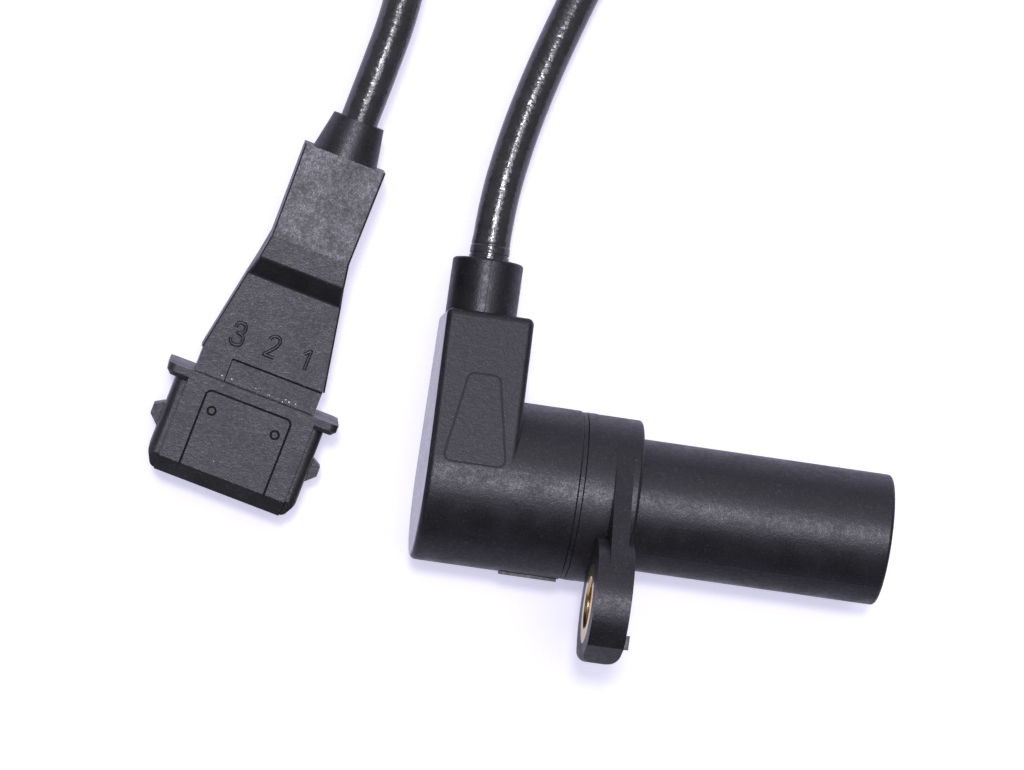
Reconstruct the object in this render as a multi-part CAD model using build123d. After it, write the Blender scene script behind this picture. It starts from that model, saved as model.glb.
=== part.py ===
from build123d import *
import math
import os

# Crankshaft position sensor with a short screened cable and a three-pin plug.
# Millimetres, +Z up, lying on a flat surface as it would be put down.
# The origin is where the barrel's axis crosses the seating face of the collar.
# +X runs along the barrel to its tip, +Y is the side that the cable leaves on.

os.makedirs("parts", exist_ok=True)

# Fine moulded lines, V-shaped and cut from a little above the surface
line_wide = 0.3
line_deep = 0.25
line_over = 0.1

# Barrel, the round snout that reaches in to the toothed wheel
barrel_d = 18.0
barrel_len = 35.0
barrel_tip_round = 0.5
can_wall = 1.6
can_front_wall = 1.0

# Collar behind the barrel, with a low ring at its rear edge
collar_d = 22.9
collar_len = 8.3
collar_front_round = 0.45
collar_ring_gap = 0.6
collar_ring_len = 1.4
collar_ring_rise = 0.05
collar_line_lift = 0.1

# Fixing ear with its boss and web
ear_reach = 19.0
ear_turn = 140.0
ear_end_r = 8.8
boss_back = 5.2
boss_front = 0.3
web_back = 3.65
web_front = 1.3
ear_foot_reach = 7.75
ear_facet_top = (-5.65, 6.75)
ear_facet_bottom = 0.95
ear_foot_round = 1.2
pip_len = 1.9
pip_wide = 1.5
pip_rise = 0.6

# Brass bush in the ear
bush_d = 10.8
bush_bore = 6.6
bush_len = 5.2
bush_chamfer = 0.35

# Moulded head behind the collar, its tower and the cable sleeve
head_d = 23.2
head_len = 20.6
head_back_round = 0.9
head_front_chamfer = 0.2
tower_top = 22.5
tower_width = 11.9
tower_half_angle = 11.0
tower_side_round = 0.85
tower_corner_round = 1.1
crest_x = -22.8
crest_top_wide = 4.2
crest_foot_wide = 8.6
crest_top = 12.0
crest_foot = -0.5
crest_round = 1.0
sleeve_d = 9.7
sleeve_len = 7.5
sleeve_from_back = 5.1
sleeve_round = 0.4
pad_len = 7.8
pad_from_collar = 0.4
pad_wide = 2.4
pad_rise = 0.35
pad_turn = 184.0

# The sensor lies on its head with the tower turned down a little
lie_turn = 4.0

# Works inside the barrel
fit_gap = 0.05
pin_d = 5.0
pin_len = 27.0
magnet_d = 6.8
magnet_len = 9.0
bobbin_hub_wall = 1.2
bobbin_flange = 1.5
winding_len = 22.0
winding_gap = 0.7
strip_wide = 1.2
strip_thick = 0.6
strip_pitch = 1.9
strip_height = 4.7
strip_top = 19.0
shield_strip_stop = 0.0

# Cable
cable_d = 5.2
core_d = 1.3
core_bare_from = 14.0
jacket_from = 20.0
core_in_jacket = 3.0
solder_flat = 0.15

# Plug shroud: mouth, walls, shoulders, lugs, collar and neck
shroud_width = 21.4
shroud_height = 10.6
shroud_len = 12.8
shoulder_wide = 1.65
shoulder_drop = 0.7
shoulder_round = 1.2
mouth_bevel_len = 2.1
mouth_bevel_in = 1.05
mouth_corner_round = 1.6
mouth_edge_round = 0.9
cavity_width = 18.4
cavity_height = 7.6
cavity_depth = 13.0
cavity_corner = 1.0
plug_collar_width = 24.5
plug_collar_height = 12.5
plug_collar_len = 1.6
plug_collar_round = 1.1
plug_collar_edge = 0.6
lug_rise = 1.4
lug_height = 3.6
lug_front = 5.2
lug_flat_front = 6.5
lug_flat_back = 7.9
lug_back = 8.7
neck_width = 17.3
neck_height = 6.6
neck_len = 3.3
neck_core_in = 1.0
neck_core_len = 4.3
neck_rib_wide = 4.2

# Panel on the shroud's raised middle, with two ring marks
panel_wide = 12.2
panel_round = 0.8
mark_d = 1.1
mark_apart = 9.15
mark_from_mouth = 10.2

# Plug blades, numbered from the side that +X leads to
blade_places = (1, 2, 3)
middle_place = 2
blade_pitch = 5.0
blade_width = 2.8
blade_thick = 0.8
blade_recess = 6.0
blade_tip_chamfer = 0.3
blade_tail_wide = 1.6
blade_end = 25.0

# Moulded rear of the plug: thin wedge, raised grip, cone at the cable
backshell_lip = 0.3
wedge_len = 11.7
wedge_end_width = 13.6
ramp_len = 2.65
ramp_end_width = 12.3
ridge_len = 3.4
ridge_width = 11.2
ridge_height = 13.2
grip_len = 13.1
grip_end_width = 11.6
grip_end_height = 9.5
grip_round = 0.3
grip_plan_bend = 2.0
grip_side_bend = 0.5
cone_len = 5.25
cone_big_d = 9.2
cone_small_d = 7.2
plug_core_start = 22.0
plug_core_bend = 27.0
plug_core_join = 36.0
plug_jacket_from = 38.0
core_bend_r = 2.0

# Where the plug lies, seen from above, and the way it points
plug_mouth_x = -55.9
plug_mouth_y = -6.0
plug_yaw = -12.8

# The cable leaves both mouldings straight for this far
cable_straight = 7.0

# Spare length of cable, wound in a coil and tied
coil_x = -25.0
coil_y = 106.6
coil_r = 28.0
coil_slack = 0.4
tie_thick = 0.7
tie_wide = 4.5
tie_at = 100.0

# Worked out from the sizes above
barrel_r = barrel_d / 2
collar_r = collar_d / 2
head_r = head_d / 2
can_r = barrel_r - can_wall
cable_r = cable_d / 2
core_r = core_d / 2
floor = -head_r
back_x = -collar_len - head_len
can_front = barrel_len - can_front_wall
pin_back = can_front - pin_len
magnet_back = pin_back - magnet_len
winding_front = can_front - bobbin_flange
winding_back = winding_front - winding_len
pocket_r = magnet_d / 2 + fit_gap
hub_r = pin_d / 2 + fit_gap + bobbin_hub_wall
sleeve_x = back_x + sleeve_from_back
sleeve_mouth = tower_top + sleeve_len
strip_x = sleeve_x + core_r - solder_flat
plug_collar_back = shroud_len + plug_collar_len
neck_back = plug_collar_back + neck_len
wedge_back = neck_back + wedge_len
ramp_back = wedge_back + ramp_len
ridge_back = ramp_back + ridge_len
grip_back = ridge_back + grip_len
cone_back = grip_back + cone_len
backshell_width = neck_width + 2 * backshell_lip
backshell_height = neck_height + 2 * backshell_lip
shroud_low = -shroud_height / 2
raised_top = plug_collar_height / 2
strip_at = {"signal": -strip_pitch, "return": 0.0, "shield": strip_pitch}

# The sensor turns about the barrel's axis to the way that it lies
lie = Rot(X=-lie_turn)

# The plug rests on the edge of its bevel and on its collar, so it lies nose down
pitch = math.atan2((plug_collar_height - shroud_height) / 2, shroud_len - mouth_bevel_len)
plug_pitch = math.degrees(pitch)
bevel_drop = shroud_height / 2 * math.cos(pitch) - mouth_bevel_len * math.sin(pitch)
plug_mouth_z = floor + bevel_drop
plug_turn = Rot(Z=plug_yaw) * Rot(X=plug_pitch)
plug_place = Pos(plug_mouth_x, plug_mouth_y, plug_mouth_z) * plug_turn


def along_x(radius, start, end):
    # Round bar on the barrel's axis from start to end
    return Pos((start + end) / 2, 0, 0) * Rot(Y=90) * Cylinder(radius, end - start)


def block(x0, x1, y0, y1, z0, z1):
    centre = Pos((x0 + x1) / 2, (y0 + y1) / 2, (z0 + z1) / 2)
    return centre * Box(x1 - x0, y1 - y0, z1 - z0)


def wire(points, radii, radius):
    # Straight runs joined by tangent arcs, with a round section
    path = FilletPolyline(*points, radius=radii)
    return sweep(Plane(path @ 0, z_dir=path % 0) * Circle(radius), path=path)


def line_section():
    # V of a fine line, with its depth along X and its width along Y
    half = line_wide / 2 * (line_deep + line_over) / line_deep
    return make_face(Polyline((-line_deep, 0), (line_over, half), (line_over, -half), close=True))


def line_along(path):
    # Fine line cut along a path that lies in a plane facing +Z
    return sweep(Plane(path @ 0, x_dir=(0, 0, 1), z_dir=path % 0) * line_section(), path=path)


def line_round(centre_x, centre_y, radius):
    # Fine ring cut in a plane facing +Z
    section = Plane.XZ * Pos(radius, 0) * Rot(Z=90) * line_section()
    return Pos(centre_x, centre_y, 0) * revolve(section, Axis.Z)


# Sensor housing: barrel, collar and fixing ear in one moulding

def ear_place():
    # The bush's axis is parallel to the barrel, out along the ear
    return Rot(X=ear_turn) * Pos(0, ear_reach, 0)


def ear_plate():
    # Web that runs tangent from the collar to the round end of the ear
    big = collar_r
    lean = math.asin((big - ear_end_r) / ear_reach)
    side = math.cos(lean)
    rise = math.sin(lean)
    outline = Polyline(
        (big * rise, big * side),
        (ear_reach + ear_end_r * rise, ear_end_r * side),
        (ear_reach + ear_end_r * rise, -ear_end_r * side),
        (big * rise, -big * side),
        close=True,
    )
    web = make_face(outline) + Pos(ear_reach, 0) * Circle(ear_end_r)
    plate = extrude(Plane.YZ * web, amount=web_back - web_front)
    return Rot(X=ear_turn) * Pos(-web_back, 0, 0) * plate


def ear_foot():
    # What the squared end of the ear leaves off, beyond a steep facet and a flat
    top_y, top_z = ear_facet_top
    far = 2 * ear_end_r
    outline = Polyline(
        (top_y, far),
        (top_y, top_z),
        (-ear_foot_reach, ear_facet_bottom),
        (-ear_foot_reach, -far),
        (-far, -far),
        (-far, far),
        close=True,
    )
    return Plane.YZ * make_face(outline)


def bush_centre():
    turn = math.radians(ear_turn)
    return Pos(0, ear_reach * math.cos(turn), ear_reach * math.sin(turn))


def foot_corners():
    # What rounds the foot's corners, seen from above
    plan = make_face(Polyline(
        (-boss_back, 0),
        (-boss_back, -ear_foot_reach),
        (-boss_front, -ear_foot_reach),
        (-boss_front, 0),
        close=True,
    ))
    rounded = fillet(plan.vertices().group_by(Axis.Y)[0], ear_foot_round)
    return extrude(plan - rounded, amount=2 * ear_end_r, both=True)


def make_pip():
    # Small moulded pip on the ear's front face, level with the top of the facet
    top_y, top_z = ear_facet_top
    pip = block(-boss_back / 2, pip_rise - boss_front, 0, pip_len, -pip_wide, 0)
    return bush_centre() * Pos(0, top_y, top_z) * pip


def collar_line():
    # Faint line round the collar, along the rear edge of its ring
    top = collar_r + collar_ring_rise + collar_line_lift
    section = Pos(-collar_len + collar_ring_gap, top) * Rot(Z=90) * line_section()
    return revolve(section, Axis.X)


def make_sensor_housing():
    collar = along_x(collar_r, -collar_len, 0)
    collar = fillet(collar.edges().sort_by(Axis.X)[-1], collar_front_round)
    barrel = along_x(barrel_r, -collar_len, barrel_len)
    barrel = fillet(barrel.edges().sort_by(Axis.X)[-1], barrel_tip_round)
    ring_back = -collar_len + collar_ring_gap
    ring = along_x(collar_r + collar_ring_rise, ring_back, ring_back + collar_ring_len)
    boss = ear_place() * along_x(ear_end_r, -boss_back, -boss_front)
    body = collar + barrel + ring + ear_plate() + boss - collar_line()
    body -= bush_centre() * Pos(-boss_back, 0, 0) * extrude(ear_foot(), amount=boss_back)
    body -= bush_centre() * foot_corners()
    body += make_pip()
    body -= ear_place() * along_x(bush_d / 2, -boss_back - 1, 1)
    return body - along_x(can_r, -collar_len, can_front)


def make_mounting_bush():
    bush = along_x(bush_d / 2, -bush_len, 0) - along_x(bush_bore / 2, -bush_len, 0)
    rims = bush.edges().filter_by(GeomType.CIRCLE).group_by(SortBy.RADIUS)[0]
    return ear_place() * chamfer(rims, bush_chamfer)


# Works inside the barrel

def make_pole_pin():
    return along_x(pin_d / 2, pin_back, can_front)


def make_magnet():
    return along_x(magnet_d / 2, magnet_back, pin_back)


def make_terminal(name):
    # Flat strip from the bobbin's rear flange, turned up into the tower
    z = strip_at[name]
    front = shield_strip_stop if name == "shield" else winding_back
    half = strip_wide / 2
    outline = Polyline(
        (front, strip_height),
        (front, strip_height + strip_thick),
        (strip_x + strip_thick, strip_height + strip_thick),
        (strip_x + strip_thick, strip_top),
        (strip_x, strip_top),
        (strip_x, strip_height),
        close=True,
    )
    strip = extrude(make_face(outline), amount=strip_wide)
    return Pos(0, 0, z - half) * strip


def make_coil_bobbin():
    spool_r = can_r - fit_gap
    bobbin = along_x(spool_r, magnet_back, winding_back)
    bobbin += along_x(hub_r, winding_back, winding_front)
    bobbin += along_x(spool_r, winding_front, can_front)
    bobbin -= along_x(pin_d / 2 + fit_gap, magnet_back, can_front)
    bobbin -= along_x(pocket_r, magnet_back, pin_back)
    for name in strip_at:
        bobbin -= make_terminal(name)
    return bobbin


def make_coil_winding():
    outer = along_x(can_r - winding_gap, winding_back, winding_front)
    return outer - along_x(hub_r, winding_back, winding_front)


# Cable end inside the head: three cores and the jacket

def make_sensor_core(name):
    # The core's bare end has a flat where it is soldered to its strip
    top = jacket_from + core_in_jacket
    middle = Pos(sleeve_x, (core_bare_from + top) / 2, strip_at[name])
    core = middle * Rot(X=90) * Cylinder(core_r, top - core_bare_from)
    return core - make_terminal(name)


def make_sensor_cable_end():
    middle = Pos(sleeve_x, (jacket_from + sleeve_mouth) / 2, 0)
    jacket = middle * Rot(X=90) * Cylinder(cable_r, sleeve_mouth - jacket_from)
    for name in strip_at:
        jacket -= make_sensor_core(name)
    return jacket


# Head: round body with a tapering tower and the cable sleeve

def head_outline():
    # Seen along the barrel: a circle with two flats that run tangent to the tower's top
    lean = math.radians(tower_half_angle)
    touch = (head_r * math.sin(lean), head_r * math.cos(lean))
    top = (head_r - tower_top * math.sin(lean)) / math.cos(lean)
    outline = make_face(
        [
            Line(touch, (tower_top, top)),
            Line((tower_top, top), (tower_top, -top)),
            Line((tower_top, -top), (touch[0], -touch[1])),
            ThreePointArc((touch[0], -touch[1]), (-head_r, 0), touch),
        ]
    )
    return fillet(outline.vertices().group_by(Axis.X)[-1], tower_corner_round)


def make_tower():
    tower = Pos(back_x, 0, 0) * extrude(Plane.YZ * head_outline(), amount=tower_width)
    tower = fillet(tower.edges().group_by(Axis.X)[0], head_back_round)
    return fillet(tower.edges().group_by(Axis.X)[-1], tower_side_round)


def make_sleeve():
    foot = Align.MIN
    sleeve = Rot(X=-90) * Cylinder(sleeve_d / 2, sleeve_mouth, align=(Align.CENTER, Align.CENTER, foot))
    sleeve = fillet(sleeve.edges().sort_by(Axis.Y)[-1], sleeve_round)
    return Pos(sleeve_x, 0, 0) * sleeve


def make_pad():
    # Low raised pad on the side away from the tower
    pad_front = -collar_len - pad_from_collar
    half = pad_wide / 2
    pad = block(pad_front - pad_len, pad_front, can_r, head_r + pad_rise, -half, half)
    return Rot(X=pad_turn) * pad


def crest_line():
    # Tall tapering outline on the tower's flat, with rounded corners
    half_top = crest_top_wide / 2
    half_foot = crest_foot_wide / 2
    outline = make_face(Polyline(
        (-half_foot, crest_foot),
        (half_foot, crest_foot),
        (half_top, crest_top),
        (-half_top, crest_top),
        close=True,
    ))
    outline = fillet(outline.vertices(), crest_round)
    return Rot(X=-tower_half_angle) * Pos(crest_x, 0, head_r) * line_along(outline.face().outer_wire())


def make_elbow_head():
    body = along_x(head_r, back_x + tower_width / 2, -collar_len)
    body = chamfer(body.edges().sort_by(Axis.X)[-1], head_front_chamfer)
    spigot = along_x(can_r, -collar_len, magnet_back)
    head = make_tower() + body + make_sleeve() + make_pad() + spigot - crest_line()
    for name in strip_at:
        head -= make_terminal(name)
        head -= make_sensor_core(name)
    return head - make_sensor_cable_end()


# Plug shroud: open mouth, raised middle with lower shoulders, lugs, collar, neck

def across(section, start, end):
    # Section drawn in width and height, carried along the plug from start to end
    return Pos(0, start, 0) * extrude(Plane.XZ * section, amount=start - end)


def lug():
    edge = shroud_width / 2
    outline = Polyline(
        (edge - 1, lug_front),
        (edge, lug_front),
        (edge + lug_rise, lug_flat_front),
        (edge + lug_rise, lug_flat_back),
        (edge, lug_back),
        (edge - 1, lug_back),
        close=True,
    )
    return Pos(0, 0, -lug_height / 2) * extrude(make_face(outline), amount=lug_height)


def bevelled(low, high):
    # One side of the shroud from low to high, drawn in at the mouth
    deep = mouth_bevel_in
    return make_face(Polyline(
        (low + deep, 0),
        (high - deep, 0),
        (high, mouth_bevel_len),
        (high, shroud_len),
        (low, shroud_len),
        (low, mouth_bevel_len),
        close=True,
    ))


def mouth_taper(low, high):
    # Bevelled at the mouth, seen from above with rounded corners and from the side
    rows = bevelled(-shroud_width / 2, shroud_width / 2)
    rows = fillet(rows.vertices().group_by(Axis.Y)[1], mouth_corner_round)
    plan = fillet(rows.vertices().group_by(Axis.Y)[0], mouth_edge_round)
    seen_above = extrude(plan, amount=plug_collar_height, both=True)
    return seen_above & Rot(Y=-90) * extrude(bevelled(low, high), amount=shroud_width, both=True)


def raised_middle():
    # The middle is as high as the collar, the shoulders beside it are lower
    middle = (shroud_low + raised_top) / 2
    return Pos(0, middle) * Rectangle(shroud_width - 2 * shoulder_wide, raised_top - shroud_low)


def panel_lines():
    # Panel outline that runs out over the bevel, and two ring marks
    half = panel_wide / 2
    corners = [(-half, 0), (-half, shroud_len), (half, shroud_len), (half, 0)]
    lines = line_along(FilletPolyline(*corners, radius=panel_round))
    for side in (-1, 1):
        lines += line_round(side * mark_apart / 2, mark_from_mouth, mark_d / 2)
    return Pos(0, 0, raised_top) * lines


def neck_lines():
    # Lines along the top and the inner side of the neck's lower part
    inner = neck_rib_wide - neck_width / 2
    far = neck_back - line_wide / 2
    across_neck = line_along(Line((inner, far), (neck_width / 2, far)))
    along_neck = line_along(Line((inner, plug_collar_back), (inner, neck_back)))
    return Pos(0, 0, neck_height / 2) * (across_neck + along_neck)


def make_blade(place):
    x = (middle_place - place) * blade_pitch
    half = blade_width / 2
    tail = blade_tail_wide / 2
    tab = block(-half, half, blade_recess, neck_back, -blade_thick / 2, blade_thick / 2)
    tab = chamfer(tab.edges().filter_by(Axis.X).group_by(Axis.Y)[0], blade_tip_chamfer)
    tail = block(-tail, tail, neck_back, blade_end, -blade_thick / 2, blade_thick / 2)
    return Pos(x, 0, 0) * (tab + tail)


def make_plug_shroud():
    low = RectangleRounded(shroud_width, shroud_height - 2 * shoulder_drop, shoulder_round)
    low_top = shroud_height / 2 - shoulder_drop
    shell = across(low, 0, shroud_len) & mouth_taper(-low_top, low_top)
    shell += across(raised_middle(), 0, shroud_len) & mouth_taper(shroud_low, raised_top)
    shell += across(raised_middle(), shroud_len, plug_collar_back)
    flange = RectangleRounded(plug_collar_width, plug_collar_height, plug_collar_round)
    flange = across(flange, shroud_len, plug_collar_back)
    flange = chamfer(flange.edges().group_by(Axis.Y)[0], plug_collar_edge)
    neck = across(Rectangle(neck_width, neck_height), plug_collar_back, neck_back)
    core_size = Rectangle(neck_width - 2 * neck_core_in, neck_height - 2 * neck_core_in)
    core = across(core_size, neck_back, neck_back + neck_core_len)
    left = -neck_width / 2
    rib_top = backshell_height / 2
    rib = block(left, left + neck_rib_wide, plug_collar_back, neck_back, 0, rib_top)
    body = shell + flange + neck + core + rib + lug() + mirror(lug(), Plane.YZ)
    body -= across(RectangleRounded(cavity_width, cavity_height, cavity_corner), 0, cavity_depth)
    body -= panel_lines() + neck_lines()
    for place in blade_places:
        body -= make_blade(place)
    return body


# Rear of the plug: moulded over the neck, the blades' tails and the cable

def core_points(side):
    near = side * blade_pitch
    far = side * strip_pitch
    high = blade_thick / 2 + core_r - solder_flat
    end = plug_jacket_from + core_in_jacket
    return [(near, plug_core_start, high), (near, plug_core_bend, high),
            (far, plug_core_join, 0), (far, end, 0)]


def make_plug_core(side):
    return wire(core_points(side), core_bend_r, core_r) - make_blade(middle_place - side)


def make_plug_cable_end():
    middle = Pos(0, (plug_jacket_from + cone_back) / 2, 0)
    jacket = middle * Rot(X=90) * Cylinder(cable_r, cone_back - plug_jacket_from)
    for side in (-1, 0, 1):
        jacket -= make_plug_core(side)
    return jacket


def rounded_outline(points, bend_r):
    # Closed outline from one side's points, as (half width, along), with its bends rounded
    other_side = [(-half, y) for half, y in reversed(points)]
    outline = make_face(Polyline(*points, *other_side, close=True))
    bends = [corner for row in outline.vertices().group_by(Axis.Y)[1:-1] for corner in row]
    return fillet(bends, bend_r)


def make_grip():
    # Where the outline seen from above and the one seen from the side both hold
    plan = rounded_outline([
        (backshell_width / 2, neck_back),
        (wedge_end_width / 2, wedge_back),
        (ramp_end_width / 2, ramp_back),
        (ridge_width / 2, ridge_back),
        (grip_end_width / 2, grip_back),
    ], grip_plan_bend)
    side = rounded_outline([
        (backshell_height / 2, neck_back),
        (backshell_height / 2, wedge_back),
        (ridge_height / 2, ramp_back),
        (ridge_height / 2, ridge_back),
        (grip_end_height / 2, grip_back),
    ], grip_side_bend)
    seen_above = extrude(plan, amount=ridge_height, both=True)
    seen_aside = Rot(Y=90) * extrude(side, amount=backshell_width, both=True)
    grip = seen_above & seen_aside
    corners = [edge for row in grip.edges().group_by(Axis.Y)[1:-1] for edge in row]
    corners = [edge for edge in corners if abs(edge.center().X) > 1 and abs(edge.center().Z) > 1]
    return fillet(corners, grip_round)


def make_plug_backshell():
    foot = (Align.CENTER, Align.CENTER, Align.MIN)
    cone = Cone(cone_big_d / 2, cone_small_d / 2, cone_len, align=foot)
    shell = make_grip() + Pos(0, grip_back, 0) * Rot(X=-90) * cone
    core_size = Rectangle(neck_width - 2 * neck_core_in, neck_height - 2 * neck_core_in)
    shell -= across(core_size, neck_back, neck_back + neck_core_len)
    for place in blade_places:
        shell -= make_blade(place)
        shell -= make_plug_core(middle_place - place)
    return shell - make_plug_cable_end()


# Free cable: two leads that meet a tied coil of the spare length

def on_plug(x, y, z):
    return (plug_place * Pos(x, y, z)).position


def on_sensor(x, y, z):
    return (lie * Pos(x, y, z)).position


coil_low = floor + tie_thick + cable_r
coil_high = coil_low + cable_r * math.sqrt(3)
lead_low = floor + cable_r

sensor_route = [
    Vector(*on_sensor(sleeve_x, sleeve_mouth, 0)),
    Vector(*on_sensor(sleeve_x, sleeve_mouth + cable_straight, 0)),
    Vector(-22.4, 46.4, -5.1),
    Vector(-20.4, 54.9, -7.8),
    Vector(-17.9, 63.4, lead_low),
    Vector(-14.6, 73.2, lead_low),
    Vector(-8.9, 80.9, coil_low),
    Vector(-1.2, 87.2, coil_low),
    Vector(4.0, 95.4, coil_low),
]

plug_route = [
    Vector(*on_plug(0, cone_back, 0)),
    Vector(*on_plug(0, cone_back + cable_straight, 0)),
    Vector(-40.7, 61.2, -2.0),
    Vector(-40.0, 69.2, -3.3),
    Vector(-41.1, 77.6, -4.1),
    Vector(-44.5, 85.4, -4.2),
    Vector(-49.4, 92.2, coil_high),
    Vector(-52.2, 100.0, coil_high),
]


def route_radii(points):
    # Each arc takes 0.45 of the shorter run beside it
    radii = []
    for before, here, after in zip(points, points[1:], points[2:]):
        turn = (here - before).get_angle(after - here)
        run = min((here - before).length, (after - here).length)
        radii.append(0.45 * run / math.tan(math.radians(turn / 2)))
    return radii


def lead_and_tail(name, points, join):
    # The lead ends in the middle of run number join, where the coil's tail starts
    radii = route_radii(points)
    middle = (points[join] + points[join + 1]) / 2
    near = points[:join + 1] + [middle]
    lead = wire(near, radii[:join], cable_r)
    length = FilletPolyline(*near, radius=radii[:join]).length
    print(name, "arc radii", [round(radius, 1) for radius in radii])
    print(name, "volume", round(lead.volume, 1), "section by length", round(math.pi * cable_r**2 * length, 1))
    return lead, wire([middle] + points[join + 1:], radii[join:], cable_r)


lead_from_sensor, sensor_tail = lead_and_tail("lead_from_sensor", sensor_route, 4)
lead_to_plug, plug_tail = lead_and_tail("lead_to_plug", plug_route, 3)


def coil_section(radius):
    # Three turns: two side by side below and one on top, drawn round in one outline
    ring = [
        Pos(coil_r - cable_r, coil_low) * Circle(radius),
        Pos(coil_r + cable_r, coil_low) * Circle(radius),
        Pos(coil_r, coil_high) * Circle(radius),
    ]
    edges = [edge for circle in ring for edge in circle.edges()]
    return Plane.XZ * make_hull(edges)


def make_cable_coil():
    ring = revolve(coil_section(cable_r + coil_slack), Axis.Z)
    return Pos(coil_x, coil_y, 0) * ring


coil_ring = make_cable_coil()


def make_coil_tie():
    # Flat band round the bundle of turns
    band = revolve(coil_section(cable_r + coil_slack + tie_thick), Axis.Z)
    reach = 2 * coil_r
    slab = block(0, reach, -tie_wide / 2, tie_wide / 2, floor, -floor)
    band = Pos(coil_x, coil_y, 0) * Rot(Z=tie_at) * (band & slab)
    return band - coil_ring


# Write every piece

def write(name, solid):
    export_step(solid, "parts/" + name + ".step")


def write_sensor():
    write("sensor_housing", lie * make_sensor_housing())
    write("mounting_bush", lie * make_mounting_bush())
    write("pole_pin", lie * make_pole_pin())
    write("magnet", lie * make_magnet())
    write("coil_bobbin", lie * make_coil_bobbin())
    write("coil_winding", lie * make_coil_winding())
    for name in strip_at:
        write("terminal_" + name, lie * make_terminal(name))
        write("sensor_core_" + name, lie * make_sensor_core(name))
    write("elbow_head", lie * make_elbow_head())
    write("sensor_cable_end", lie * make_sensor_cable_end())


def write_plug():
    write("plug_shroud", plug_place * make_plug_shroud())
    write("plug_backshell", plug_place * make_plug_backshell())
    write("plug_cable_end", plug_place * make_plug_cable_end())
    for place in blade_places:
        write("plug_blade_" + str(place), plug_place * make_blade(place))
    for side, name in ((1, "signal"), (0, "return"), (-1, "shield")):
        write("plug_core_" + name, plug_place * make_plug_core(side))


def write_cable():
    write("lead_from_sensor", lead_from_sensor)
    write("lead_to_plug", lead_to_plug)
    write("cable_coil", coil_ring + sensor_tail + plug_tail)
    write("coil_tie", make_coil_tie())


write_sensor()
write_plug()
write_cable()
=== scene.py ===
import math

import bmesh
import bpy
from bpy.props import FloatProperty, FloatVectorProperty, PointerProperty
from mathutils import Matrix, Vector


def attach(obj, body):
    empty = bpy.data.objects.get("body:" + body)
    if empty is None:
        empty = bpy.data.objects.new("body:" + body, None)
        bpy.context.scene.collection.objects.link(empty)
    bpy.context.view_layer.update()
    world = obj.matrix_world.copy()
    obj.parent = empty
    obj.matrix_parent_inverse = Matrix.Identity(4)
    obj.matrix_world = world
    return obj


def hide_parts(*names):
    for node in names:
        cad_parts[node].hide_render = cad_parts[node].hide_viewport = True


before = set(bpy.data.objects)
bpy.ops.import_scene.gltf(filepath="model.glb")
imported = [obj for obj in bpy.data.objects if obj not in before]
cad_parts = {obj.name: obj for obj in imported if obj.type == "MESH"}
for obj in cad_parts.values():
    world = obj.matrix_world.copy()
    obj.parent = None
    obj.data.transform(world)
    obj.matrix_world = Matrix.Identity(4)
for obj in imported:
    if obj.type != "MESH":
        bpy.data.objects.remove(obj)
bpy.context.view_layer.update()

bl_info = {
    "name": "Crankshaft position sensor",
    "version": (1, 0, 0),
    "blender": (4, 5, 0),
    "location": "View3D > Sidebar > Sensor",
    "description": "Finishes the packed crankshaft sensor: cable, mouldings, bush, plug and stage",
    "category": "Object",
}

# Everything is in metres, in the frame of the packed model

# Turned rings: steps round, and the angle from which an edge is sharp
TURN_STEPS = 64
SHARP_ANGLE = math.radians(35)

# Sensor: turned about the barrel's axis to the way that it lies. The head's flat back is smoother
LIE_TURN = math.radians(-4)
HEAD_R = 0.0116
HEAD_BACK_X = -0.0289
HEAD_BACK_FADE = 0.0002
HEAD_BACK_ROUGH = 0.35
TOWER_LEAN = math.radians(11)
TOWER_TOP = 0.0225
SLEEVE_X = -0.0238
SLEEVE_MOUTH = 0.0300
BARREL_R = 0.0090
BARREL_FOOT = 0.0005

# Fine line round the tower's panel: where it lies, and how deep under the face its painted light is, that
# lightens the line's shade
PANEL_ACROSS = (-0.0278, -0.0180)
PANEL_ALONG = (-0.0040, 0.0130)
PANEL_DEEP = (0.00003, 0.0004)

# Seams of the mould: the barrel's place as an angle from its top down to the ear's side, half of
# a seam's width, and its height in depths of the grain
BARREL_SEAM = math.radians(45)
SEAM_HALF = 0.00014
SEAM_HIGH = 0.8

# Plug: its mouth, the way it points and how far it leans on its bevel
FLOOR_Z = -HEAD_R
PLUG_MOUTH = (-0.0559, -0.0060)
PLUG_YAW = math.radians(-12.8)
PLUG_HEIGHT = 0.0106
PLUG_COLLAR_HEIGHT = 0.0125
PLUG_LENGTH = 0.0128
PLUG_BEVEL = 0.0021
PLUG_COLLAR_BACK = 0.0144
PLUG_NECK_BACK = 0.0177
PLUG_NECK_TOP = 0.0033
WEDGE_TOP = 0.0036
CONE_BACK = 0.0538
NUMERALS_BACK = PLUG_NECK_BACK + 0.0020
PLUG_PITCH = math.atan2((PLUG_COLLAR_HEIGHT - PLUG_HEIGHT) / 2, PLUG_LENGTH - PLUG_BEVEL)
PLUG_RISE = PLUG_HEIGHT / 2 * math.cos(PLUG_PITCH) - PLUG_BEVEL * math.sin(PLUG_PITCH)

SENSOR = Matrix.Rotation(LIE_TURN, 4, "X")
PLUG = (
    Matrix.Translation((*PLUG_MOUTH, FLOOR_Z + PLUG_RISE))
    @ Matrix.Rotation(PLUG_YAW, 4, "Z")
    @ Matrix.Rotation(PLUG_PITCH, 4, "X")
)

# Crease between the plug's collar and its neck: how far its dust spreads and how full it is
CREASE_ALONG = (PLUG_COLLAR_BACK - 0.0001, PLUG_COLLAR_BACK + 0.0006)
CREASE_ACROSS = (-0.0050, 0.0068)
CREASE_UP = (PLUG_NECK_TOP - 0.0004, PLUG_NECK_TOP + 0.0004)
CREASE_FULL = 0.6
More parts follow.
